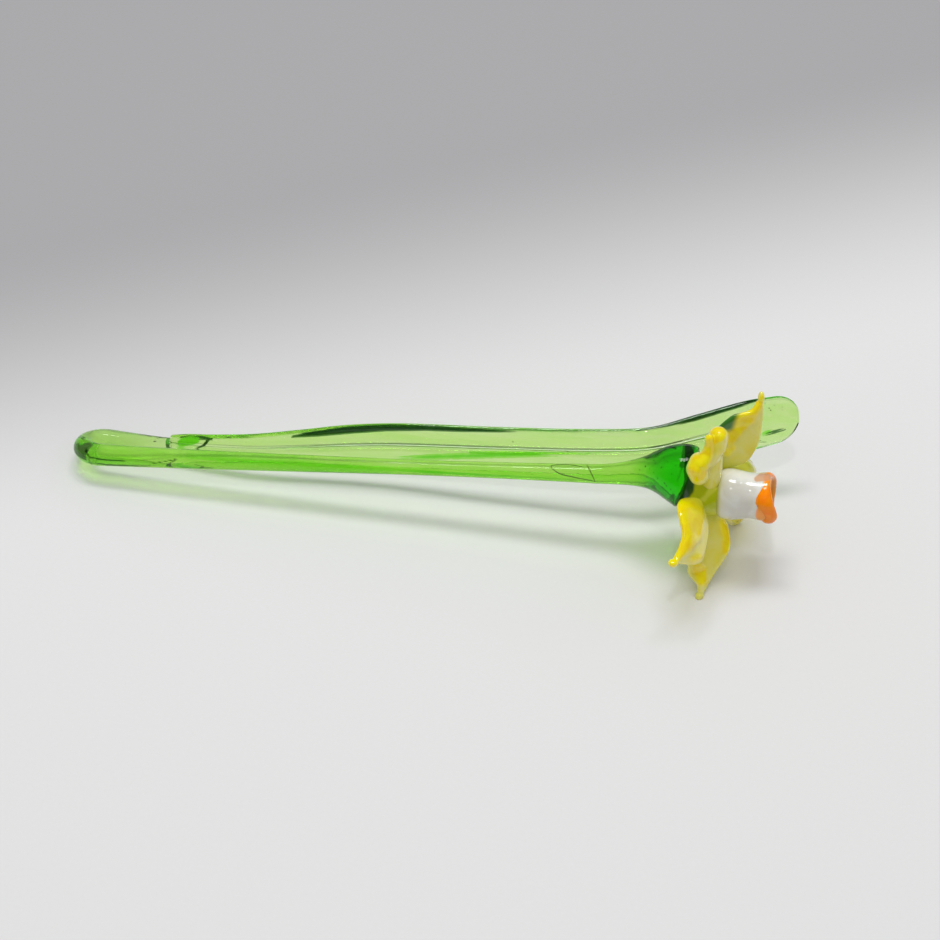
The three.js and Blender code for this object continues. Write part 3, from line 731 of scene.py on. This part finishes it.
# "core" is where the yellow shows through the pale casing and "green" where green glass shows behind it, by picture
# x, y and radius. "trim" is how far each edge is drawn sideways in the picture: (share of the length, -u, +u edge)
petals = {
    1: {"around": -26.9, "length": 22.5, "half": 6.2, "lift": 16.3, "curl": -6.1, "power": 2, "twist": (-52, -57),
        "sway": 1.4, "bow": 0, "fold": 20.7, "peak": 0.82, "root": 2.1, "bead": 0.95, "shift": (-0.7, -1.9, -0.4),
        "sink": 2.2, "drawOut": 1.25, "bulge": 0.45,
        "core": [[(728, 440, 6), (738, 424, 8), (749, 416, 7), (757, 407, 4.5), (762, 397, 2)],
                 [(727, 452, 4), (732, 447, 3)]],
        "green": [[(719, 428, 4), (727, 424, 6.5), (733, 417, 3.5), (740, 411, 0.5)]],
        "trim": [(0.0, -5.0, 0), (0.1, -6.0, 0), (0.2, -6.5, 0), (0.34, -4.0, 0), (0.42, -3.4, 1.3),
                 (0.5, -2.8, 0.9), (0.58, -2.4, 0.4), (0.66, -2.3, -0.7), (0.74, -2.7, -5.0), (0.82, -3.0, -7.0),
                 (0.9, -2.6, -3.2), (1.0, 0.6, 0.6)]},
    2: {"around": 20.1, "core": [[(717, 434, 8.8), (712, 438, 7)], [(709, 439, 5.5), (709, 449, 5.5), (705, 458, 7)],
                                 [(698, 465, 10), (697, 473, 9)]]},
    3: {"around": 95.7, "length": 23.2, "half": 6.9, "lift": 12.7, "curl": -34, "power": 1.9, "twist": (52, 25),
        "sway": -2.3, "bow": -0.9, "fold": 6.0, "peak": 1.05, "root": 2.3, "bead": 1.2, "shift": (0.25, 0, 0),
        "sink": 2.5, "drawOut": 1.15, "bulge": 0.8,
        "core": [[(690, 506, 13), (691, 518, 12.8), (690, 533, 12), (685, 546, 7.5), (677, 555, 4.5), (672, 561, 6)],
                 [(693, 560, 3), (700, 557, 2.5)]],
        "trim": [(0.0, -2.0, -1.0), (0.08, -6.0, -2.0), (0.2, -5.8, -2.2), (0.34, -4.2, -2.4), (0.42, -2.0, -1.9),
                 (0.5, 0.5, -0.2), (0.58, 3.5, 2.2), (0.66, 4.9, 2.3), (0.74, 3.6, -0.3), (0.82, 2.2, -1.6),
                 (0.9, 0.3, -0.4), (1.0, 0, 0)]},
    4: {"around": 145.8, "length": 23.8, "half": 7, "lift": 30.8, "curl": -27.3, "power": 2.1, "twist": (51, 47),
        "sway": -2.6, "bow": 0, "fold": 20.4, "peak": 0.86, "root": 2.5, "bead": 1.15, "shift": (1.05, 0, 0),
        "sink": 3.0, "bulge": 0.35,
        "core": [[(722, 522, 3), (728, 538, 5.5), (727, 550, 5)], [(699, 570, 6.5), (702, 581, 4.5)]],
        "trim": [(0.0, 3, 4), (0.18, 3, 4.0), (0.34, 2, 1.8), (0.42, 1, 1.9), (0.5, 1.5, 1.1), (0.58, 2.6, -1.0),
                 (0.66, -0.2, -3.0), (0.74, 0.8, -3.4), (0.82, 3.4, -2.2), (0.9, 1.0, -0.2), (1.0, 0, 0)]},
    5: {"around": -153.5, "length": 21.1, "half": 4.9, "lift": 23.9, "curl": 16.4, "power": 1.8, "twist": (-6, -77),
        "sway": 0.6, "bow": 0.2, "fold": 25.8, "peak": 0.97, "root": 2.4, "bead": 1.2, "shift": (-0.2, 0, 0),
        "sink": 2.5, "bulge": 0.2, "core": [[(729, 516, 3)]],
        "trim": [(0.0, 0, 0), (0.4, 0, 0), (0.6, -3.0, 1), (0.75, -4.6, 3), (0.9, -4.6, 4), (1.0, -3.2, 3.2)]},
    6: {"around": -99.8, "length": 16.8, "half": 6.6, "lift": 37.9, "curl": -29.7, "power": 2.1, "twist": (24, 87),
        "sway": -3.8, "bow": -0.6, "fold": 24, "peak": 1, "root": 2.6, "bead": 1.2, "shift": (-0.5, 0, -0.4),
        "sink": 2.5, "bulge": 0.2, "core": [[(741, 466, 7), (746, 466, 5)]], "glass": oliveMaterial,
        "trim": [(0.0, 0, 0), (0.4, 0, 0), (0.6, -1.5, 0), (0.8, -2.6, 0), (1.0, -2.0, 0)]},
}


def petalStations(shape):  # (share of the length, half width, thickness, fold) from the root to the bead
    stations = []
    for i in range(petal["rootSteps"]):
        s = -shape["sink"] / shape["length"] * (1 - i / petal["rootSteps"])
        flare = 1 - petal["flare"] * s
        stations.append((s, shape["root"] * flare, petal["thickness"] * flare, 0.0))
    for i in range(petal["steps"] + 1):
        q = i / petal["steps"]
        swell = math.sin(math.pi * min(1, q ** shape["peak"])) ** petal["swelling"] if 0 < q < 1 else 0.0
        thin = max(0, (q - (1 - petal["thinShare"])) / petal["thinShare"]) ** petal["thinning"]
        stations.append((q * petal["neckAt"],
                         mix(shape["root"], petal["neckRadius"], q) + (shape["half"] - petal["narrowing"]) * swell,
                         mix(petal["thickness"], petal["neckRadius"] * 2, thin),
                         math.tan(math.radians(shape["fold"])) * swell))
    for i in range(1, petal["beadSteps"] + 1):
        turn = mix(*petal["beadTurn"], i / (petal["beadSteps"] + petal["beadClose"])) * math.pi
        radius = shape["bead"] * math.cos(turn)
        s = petal["neckAt"] + (1 - petal["neckAt"]) * (math.sin(turn) + petal["beadStart"]) / (1 + petal["beadStart"])
        stations.append((s, radius, radius * 2, 0.0))
    return stations


def makePetal(number, shape):
    arm = Matrix.Rotation(math.radians(shape["around"]), 3, "Z")
    root = Vector(petal["root"]) + Vector(shape["shift"])
    stations = petalStations(shape)
    lastS, pitch = stations[0][0], math.radians(shape["lift"])
    line = Vector((math.cos(pitch), 0, math.sin(pitch))) * (lastS * shape["length"])
    rings, rows = [], {"along": [], "core": [], "green": []}
    for s, half, thick, fold in stations:
        held = max(s, 0.0)
        pitch = math.radians(shape["lift"] + shape["curl"] * held ** shape["power"])
        along = Vector((math.cos(pitch), 0, math.sin(pitch)))
        drawOut = shape.get("drawOut", 1.0) if s > petal["drawnFrom"] else 1.0
        line += along * ((s - lastS) * shape["length"] * drawOut)
        lastS = s
        twist = math.radians(mix(*shape["twist"], held))
        across = Matrix.Rotation(twist, 3, along) @ Vector((0, 1, 0))
        out = along.cross(across)
        centre = line + Vector((0, shape["sway"] * held * held + shape["bow"] * math.sin(2 * math.pi * held), 0))
        wide, onward, outward = (headTurn @ (arm @ v) for v in (across, along, out))
        # the edges are drawn at right angles to the petal's length as the camera sees it
        forward = Vector((onward.dot(viewRight), onward.dot(viewUp))).normalized()
        lean = Vector((-forward.y, forward.x))
        if lean.dot(Vector((wide.dot(viewRight), wide.dot(viewUp)))) < 0:
            lean = -lean
        sideways = viewRight * lean.x + viewUp * lean.y
        moves = [between(shape["trim"], held, k) * pixel for k in (1, 2)]
        ring, core, green = [], [], []
        for k in range(petal["around"]):
            turn = 2 * math.pi * (k + 0.5) / petal["around"]
            u, v = math.cos(turn), math.sin(turn)
            bent = fold * half * (math.sqrt(u * u + petal["foldRound"]) - petal["foldMiddle"])
            plump = math.copysign(abs(v) ** petal["plump"], v)
            point = toHead(arm @ (centre + across * (half * u) + out * (bent + thick / 2 * plump) + root))
            point += sideways * mix(*moves, (u + 1) / 2)
            spot = seenAt(point)
            if v * outward.dot(viewBack) > 0:  # the core swells the side that faces the camera
                bulge = shape["bulge"] * marked(shape["core"], spot, petal["bulgeSoft"]) * (1 if s > 0 else 0)
                bulge *= abs(v) ** petal["bulgeRound"] * min(1.0, half / petal["bulgeWidth"])
                point += outward * math.copysign(bulge, v)
            point.z = max(point.z, 0.0)
            ring.append(point)
            core.append(marked(shape["core"], spot, petal["coreSoft"]))
            green.append(marked(shape.get("green", []), spot, petal["greenSoft"]))
        rings.append(ring)
        rows["along"].append([s] * petal["around"])
        rows["core"].append(core)
        rows["green"].append(green)
    mesh = loftMesh(f"petal{number}", rings, rows)
    return addPiece(f"petal{number}", mesh, shape.get("glass", yellowMaterial), [f"petal_{number}"])


# The second petal points at the camera: two round lobes with a waist between them and its bead in front
lobes = {
    "voxel": 0.22, "smoothing": 16, "calm": 0.5, "depth": 1.4, "steps": 12, "detail": 3, "coreSoft": 2.4,
    "root": (722, 482, 44), "rootRange": (1.0, 14.0),
    # picture x and y, height over the picture plane (mm), radius (mm)
    "chains": [
        [(718.4, 436.5, 57.3, 2.65), (717, 446, 56.8, 2.45), (711, 456, 56.0, 2.3), (703, 462, 55.5, 2.4)],
        [(699.5, 462.5, 55.5, 2.75), (696.8, 469, 55.5, 2.8), (699, 475.5, 54.5, 2.6)],
        [(709, 438.5, 60.6, 1.15), (709.5, 446, 59.2, 1.25), (707.5, 455, 57.6, 1.8), (701, 464, 56.5, 2.5)],
        [(714, 453, 54.8, 2.4), (711.5, 466, 51.5, 2.9), (708.5, 480, 46.5, 3.1)],
    ],
}


def makeLobedPetal():  # balls along the chains, fused into one skin and smoothed
    work = bmesh.new()
    deeper = Matrix.Scale(lobes["depth"], 4, viewBack)
    for chain in lobes["chains"]:
        for a, b in zip(chain, chain[1:]):
            for i in range(lobes["steps"] + 1):
                x, y, height, radius = (mix(p, q, i / lobes["steps"]) for p, q in zip(a, b))
                place = Matrix.Translation(placedAt(x, y, height) * mm) @ deeper
                bmesh.ops.create_icosphere(work, subdivisions=lobes["detail"], radius=radius * mm, matrix=place)
    draft = bpy.data.meshes.new("petal2Draft")
    work.to_mesh(draft)
    work.free()
    holder = addObject("petal2Draft", draft)
    fuse = holder.modifiers.new("fuse", "REMESH")
    fuse.mode = "VOXEL"
    fuse.voxel_size = lobes["voxel"] * mm
    calm = holder.modifiers.new("calm", "SMOOTH")
    calm.factor = lobes["calm"]
    calm.iterations = lobes["smoothing"]
    mesh = plainMesh(holder, "petal2")
    mesh.polygons.foreach_set("use_smooth", [True] * len(mesh.polygons))
    root = placedAt(*lobes["root"])
    places = [vertex.co / mm for vertex in mesh.vertices]
    paint(mesh, "along", [smooth((p - root).length, *lobes["rootRange"]) for p in places])
    paint(mesh, "core", [marked(petals[2]["core"], seenAt(p), lobes["coreSoft"]) for p in places])
    return addPiece("petal2", mesh, yellowMaterial, ["petal_2"])


for number in (1, 3, 4, 5, 6):
    makePetal(number, petals[number])
makeLobedPetal()
print("petals made")


# Boss, cup and lip

boss = {
    "profile": [(0.0, 6.4), (0.08, 6.8), (0.25, 6.9), (0.5, 6.5), (0.75, 6.0), (0.93, 5.7), (1.0, 5.5)],
    "steps": 60, "sides": 120, "overlap": 0.3, "ridge": 1.3, "ridgeWidth": 20.0, "ridgeAt": 0.5, "ridgeLength": 0.3,
    # greenMarks is painted shade, the neck's dark band carried on over the boss where it meets the neck, by picture x,
    # y and radius
    "greenMarks": [[(681, 498, 6), (687, 489, 7), (689, 468, 7)]], "greenSoft": 1.6,
    "paleMarks": [[(704, 500, 2), (722, 470, 3)], [(698, 503, 2), (716, 488, 2)], [(712, 480, 2), (722, 462, 5)],
                  [(706, 512, 4), (716, 512, 3)]], "paleSoft": 3.0,
}
cup = {
    "start": 8.1, "offset": (-0.8, 0.8), "turnUp": 11, "turnBack": 13, "length": 11.4, "sides": 120,
    # height and radius, of the outside upwards and of the hollow from its bottom to the rim
    "outer": [(-0.1, 5.3), (0.5, 5.95), (1.6, 6.5), (3.6, 6.7), (6.0, 6.35), (8.4, 6.0), (10.5, 6.15), (12.4, 6.35),
              (13.3, 6.1), (13.7, 5.5)],
    "inner": [(3.2, 0.2), (3.6, 1.6), (4.84, 3.1), (8.4, 4.2), (12.6, 4.6), (13.7, 5.3)],
    "outerSteps": 60, "innerSteps": 36,
    "peachMarks": [[(757, 479, 3), (763, 476.5, 5), (769, 475, 5)]], "peachSoft": 2.0, "peachFrom": 7,
    "orangeFrom": 10.6, "orangeBlend": 1.8, "orangeFront": 1.9, "orangeLean": 0.8, "orangeWaves": 0.35,
}
lip = {
    "radius": 5.5, "width": 2.7, "length": 3.8, "above": 0.3, "outwards": 0.35, "innerDepth": 1.0, "steps": 160,
    "sides": 32, "firstDegree": -60,
    # degrees from the top towards the front: shift along the cup, share of the full size
    "shape": [(-60, -0.5, 0.8), (-20, -0.9, 0.68), (5, -0.9, 0.62), (30, -0.9, 0.85), (58, -0.9, 1.22),
              (80, -0.1, 1.0), (104, 0.35, 0.92), (130, 0.0, 1.05), (155, 0.0, 1.0), (185, -0.2, 0.85),
              (215, -0.6, 1.0), (245, -0.3, 0.9), (275, -0.5, 1.05), (300, -0.5, 0.8)],
}
cupTurn = (Matrix.Rotation(math.radians(cup["turnBack"]), 3, "X")
           @ Matrix.Rotation(math.radians(cup["turnUp"]), 3, "Y"))
cupBase = Vector((*cup["offset"], cup["start"]))


def toCup(v):  # from the cup's own frame, its base at 0 and its mouth towards +Z
    return toHead(cupBase + cupTurn @ v)


def makeBoss():
    cupAxis = cupTurn @ Vector((0, 0, 1))
    first, last = Vector((0, 0, -boss["overlap"])), cupBase + cupAxis * boss["overlap"]
    reach = (last - first).length / 3
    rings, side = [], Vector((1, 0, 0))
    for i in range(boss["steps"] + 1):
        t = i / boss["steps"]
        centre = bezierPoint(first, first + Vector((0, 0, reach)), last - cupAxis * reach, last, t)
        along = mix(Vector((0, 0, 1)), cupAxis, smooth(t, 0, 1)).normalized()
        side = (side - along * side.dot(along)).normalized()
        across = along.cross(side)
        ring = []
        for k in range(boss["sides"]):
            turn = 360 * k / boss["sides"]
            swell = 0.0  # a ridge towards each petal
            for shape in petals.values():
                off = (turn - shape["around"] + 180) % 360 - 180
                swell += math.exp(-(off / boss["ridgeWidth"]) ** 2
                                  - ((t - boss["ridgeAt"]) / boss["ridgeLength"]) ** 2)
            radius = between(boss["profile"], t) + boss["ridge"] * min(swell, 1.0)
            angle = math.radians(turn)
            ring.append(toHead(centre + side * (radius * math.cos(angle)) + across * (radius * math.sin(angle))))
        rings.append(ring)
    mesh = loftMesh("flowerBoss", rings, {"green": markRows(rings, boss["greenMarks"], boss["greenSoft"]),
                                          "pale": markRows(rings, boss["paleMarks"], boss["paleSoft"])})
    return addPiece("flowerBoss", mesh, bossMaterial, ["flower_boss"])


def profileRows(rows, count):  # (height, radius) at even heights
    heights = [mix(rows[0][0], rows[-1][0], i / count) for i in range(count + 1)]
    return [(z, between(rows, z)) for z in heights]


def makeCup():
    profile = profileRows(cup["outer"], cup["outerSteps"]) + profileRows(cup["inner"], cup["innerSteps"])[::-1]
    rings, rows = [], {"along": [], "warm": [], "clear": []}
    for index, (z, radius) in enumerate(profile):
        outside = index <= cup["outerSteps"]
        ring, warm, clear = [], [], []
        for k in range(cup["sides"]):
            turn = 2 * math.pi * k / cup["sides"]
            point = toCup(Vector((radius * math.cos(turn), radius * math.sin(turn), z)))
            ring.append(point)
            # the lip's orange runs back over the cup, furthest at the front
            begin = (cup["orangeFrom"] - cup["orangeLean"] * math.cos(turn - cup["orangeFront"])
                     + cup["orangeWaves"] * math.sin(3 * turn))
            warm.append(smooth(z, begin, begin + cup["orangeBlend"]) if outside else 1.0)
            peach = outside and z > cup["peachFrom"]
            clear.append(marked(cup["peachMarks"], seenAt(point), cup["peachSoft"]) if peach else 0.0)
        rings.append(ring)
        rows["along"].append([z / cup["length"]] * cup["sides"])
        rows["warm"].append(warm)
        rows["clear"].append(clear)
    return addPiece("trumpetCup", loftMesh("trumpetCup", rings, rows), whiteMaterial, ["cup"])


def makeLip():
    path, radii = [], []
    for i in range(lip["steps"]):
        degrees = lip["firstDegree"] + 360 * i / lip["steps"]
        shift, size = (between(lip["shape"], degrees, k) for k in (1, 2))
        turn = math.radians(degrees)
        radii.append(lip["width"] / 2 * size)
        reach = lip["radius"] + lip["outwards"] * (size - 1)
        path.append(Vector((reach * math.cos(turn), reach * math.sin(turn), shift)))
    mesh = makeTube("trumpetLip", path, radii, lip["sides"], orangeMaterial, cyclic=True)
    places = [vertex.co / mm for vertex in mesh.vertices]
    paint(mesh, "inner", [smooth(math.hypot(p.x, p.y), lip["radius"], lip["radius"] - lip["innerDepth"])
                          for p in places])
    stretch = lip["length"] / lip["width"]
    for vertex, p in zip(mesh.vertices, places):
        along = p.z * stretch + cup["length"] + lip["above"] + lip["length"] / 2
        vertex.co = toCup(Vector((p.x, p.y, along))) * mm
    return addPiece("trumpetLip", mendedMesh(mesh), orangeMaterial, ["cup_lip"])


makeBoss()
makeCup()
makeLip()
print("boss, cup and lip made")


# Floor, lights and the room's glow, in metres

stage = {
    "floorSize": 4.0, "floor": (0.71, 0.71, 0.71), "grain": 0.97, "grainScale": 900.0, "roughness": 0.8,
    # the far floor colour is painted shade: the floor darkens towards the back, where less light reaches it
    "farFloorShade": (0.355, 0.35, 0.36), "fadeAlong": (-0.45, 0.893, 0.0), "fade": (-0.03, 0.095),
    "horizon": 0.28, "zenith": 0.61, "zenithAt": 0.8, "mirrored": 0.35, "throughGlass": 0.6,
    "lampsOver": (0.1, 0.0, 0.0),
}
softboxes = {
    "keySoftbox": {"lean": 13.6, "distance": 1.3, "size": (0.75, 0.26), "power": 8.8},
    "smallLamp": {"lean": -22.0, "distance": 1.3, "size": (0.06, 0.06), "power": 1.6},
}


def makeFloor():
    size = stage["floorSize"] / 2
    mesh = bpy.data.meshes.new("floorSheet")
    mesh.from_pydata([(-size, -size, 0), (size, -size, 0), (size, size, 0), (-size, size, 0)], [], [(0, 1, 2, 3)])
    floor = addObject("floorSheet", mesh)
    material, tree, point = newMaterial("paleSheet")
    noise = addNode(tree, "ShaderNodeTexNoise", {"Vector": point, "Scale": stage["grainScale"], "Detail": 2.0})
    grain = tuple(stage["grain"] * c for c in stage["floor"])
    colour = mixColour(tree, noise.outputs["Fac"], stage["floor"], grain)
    # painted shade: the floor darkens towards the back
    far = addNode(tree, "ShaderNodeVectorMath", {0: point, 1: stage["fadeAlong"]}, operation="DOT_PRODUCT")
    fade = mapRange(tree, far.outputs["Value"], *stage["fade"])
    finishDull(tree, mixColour(tree, fade, colour, stage["farFloorShade"]), stage["roughness"])
    mesh.materials.append(material)


def addSoftbox(name, values):  # above the flower, leaning over towards the camera or away from it
    lean = math.radians(values["lean"])
    away = Vector((-math.sin(azimuth) * math.sin(lean), math.cos(azimuth) * math.sin(lean), math.cos(lean)))
    data = bpy.data.lights.new(name, "AREA")
    data.shape = "RECTANGLE"
    data.size, data.size_y = values["size"]
    data.energy = values["power"]
    lamp = addObject(name, data)
    lamp.location = Vector(stage["lampsOver"]) + away * values["distance"]
    lamp.rotation_mode = "QUATERNION"
    lamp.rotation_quaternion = Matrix((viewRight, away.cross(viewRight), away)).transposed().to_quaternion()


def makeWorld():
    world = bpy.data.worlds.new("studioRoom")
    scene.world = world
    world.use_nodes = True
    tree = world.node_tree
    tree.nodes.clear()
    direction = addNode(tree, "ShaderNodeTexCoord").outputs["Generated"]
    height = addNode(tree, "ShaderNodeSeparateXYZ", {0: direction}).outputs[2]
    level = mapRange(tree, height, 0.0, stage["zenithAt"], stage["horizon"], stage["zenith"])
    rays = addNode(tree, "ShaderNodeLightPath").outputs
    mirror = mathNode(tree, "SUBTRACT", rays["Is Glossy Ray"], rays["Is Transmission Ray"], clamp=True)
    dim = mathNode(tree, "MULTIPLY_ADD", mirror, stage["mirrored"] - 1, 1.0)
    level = mathNode(tree, "MULTIPLY", level, dim)
    through = mathNode(tree, "MULTIPLY", rays["Is Transmission Ray"], stage["throughGlass"])
    level = mathNode(tree, "MAXIMUM", level, through)
    glow = addNode(tree, "ShaderNodeBackground", {"Color": (1.0, 1.0, 1.0), "Strength": level})
    addNode(tree, "ShaderNodeOutputWorld", {"Surface": glow.outputs[0]})


makeFloor()
for name, values in softboxes.items():
    addSoftbox(name, values)
makeWorld()
scene.view_settings.view_transform = "Standard"
print("floor and lights made")
